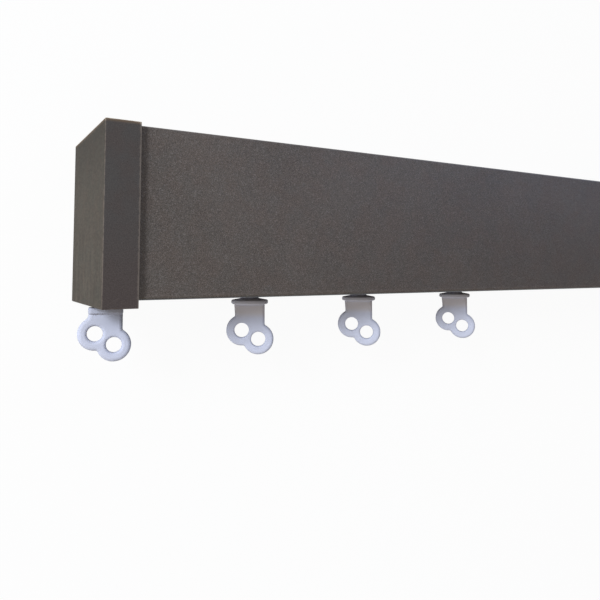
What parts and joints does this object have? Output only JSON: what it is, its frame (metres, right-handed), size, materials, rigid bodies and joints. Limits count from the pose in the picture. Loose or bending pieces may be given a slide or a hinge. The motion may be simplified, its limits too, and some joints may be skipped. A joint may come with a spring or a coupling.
{
  "type": "curtain track",
  "caption": "Rectangular coated aluminium curtain track with slip-over end caps and moulded eyelet gliders that run in a slot along its underside.",
  "frame": {"origin": "centre of the track's footprint on the level surface it lies on, back face down", "axes": "+X along the rail from the left cap to the right cap, +Y to the side that goes against the ceiling, +Z out of the front face; the slot and the gliders are on the -Y side"},
  "size_m": [1.0066, 0.0644, 0.0416],
  "materials": {
    "rail_coat": "fine textured powder coat, umber grey, matt",
    "cap_plastic": "smooth satin moulding, umber grey",
    "glider_plastic": "cool white moulding, semi-gloss"
  },
  "bodies": {
    "track": {"rail": "rail_coat", "left_end_cap": "cap_plastic", "right_end_cap": "cap_plastic"},
    "glider_1": {"glider_1": "glider_plastic"},
    "glider_2": {"glider_2": "glider_plastic"},
    "glider_3": {"glider_3": "glider_plastic"},
    "glider_4": {"glider_4": "glider_plastic"},
    "glider_5": {"glider_5": "glider_plastic"},
    "glider_6": {"glider_6": "glider_plastic"},
    "left_end_eyelet": {"left_end_eyelet": "glider_plastic"},
    "right_end_eyelet": {"right_end_eyelet": "glider_plastic"}
  },
  "joints": [
    {"name": "glider_1_slide", "type": "slide", "parent": "track", "child": "glider_1", "axis": [1, 0, 0], "range_m": [-0.0265, 0.013]},
    {"name": "glider_2_slide", "type": "slide", "parent": "track", "child": "glider_2", "axis": [1, 0, 0], "range_m": [-0.0125, 0.015]},
    {"name": "glider_3_slide", "type": "slide", "parent": "track", "child": "glider_3", "axis": [1, 0, 0], "range_m": [-0.0145, 0.352]},
    {"name": "glider_4_slide", "type": "slide", "parent": "track", "child": "glider_4", "axis": [1, 0, 0], "range_m": [-0.352, 0.0145]},
    {"name": "glider_5_slide", "type": "slide", "parent": "track", "child": "glider_5", "axis": [1, 0, 0], "range_m": [-0.015, 0.0125]},
    {"name": "glider_6_slide", "type": "slide", "parent": "track", "child": "glider_6", "axis": [1, 0, 0], "range_m": [-0.013, 0.0265]},
    {"name": "left_end_eyelet_swivel", "type": "hinge", "parent": "track", "child": "left_end_eyelet", "pos_m": [-0.496, -0.01838, 0.02078], "axis": [0, 1, 0], "continuous": true},
    {"name": "right_end_eyelet_swivel", "type": "hinge", "parent": "track", "child": "right_end_eyelet", "pos_m": [0.496, -0.01838, 0.02078], "axis": [0, 1, 0], "continuous": true}
  ]
}
